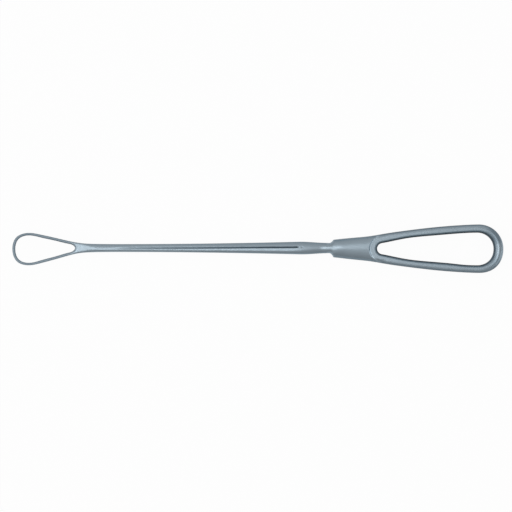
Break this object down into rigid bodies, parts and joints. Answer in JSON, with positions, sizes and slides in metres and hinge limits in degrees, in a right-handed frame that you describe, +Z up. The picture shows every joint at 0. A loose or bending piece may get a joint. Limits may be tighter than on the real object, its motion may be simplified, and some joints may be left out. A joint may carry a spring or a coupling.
{
  "type": "uterine curette",
  "caption": "One-piece steel curette: open teardrop loop, long grooved oval shaft, tapered ferrule and long closed bow handle.",
  "frame": {"origin": "under the middle of the length, on the handle's centre line, at the surface that the tool lies on", "axes": "+X from the loop towards the handle, +Y across the tool, +Z up out of the grooved face"},
  "size_m": [0.31, 0.0306, 0.0098],
  "materials": {
    "satin_steel": "fine satin, bead blasted and wire brushed along the tool"
  },
  "bodies": {
    "root": {"curette": "satin_steel"}
  },
  "joints": []
}
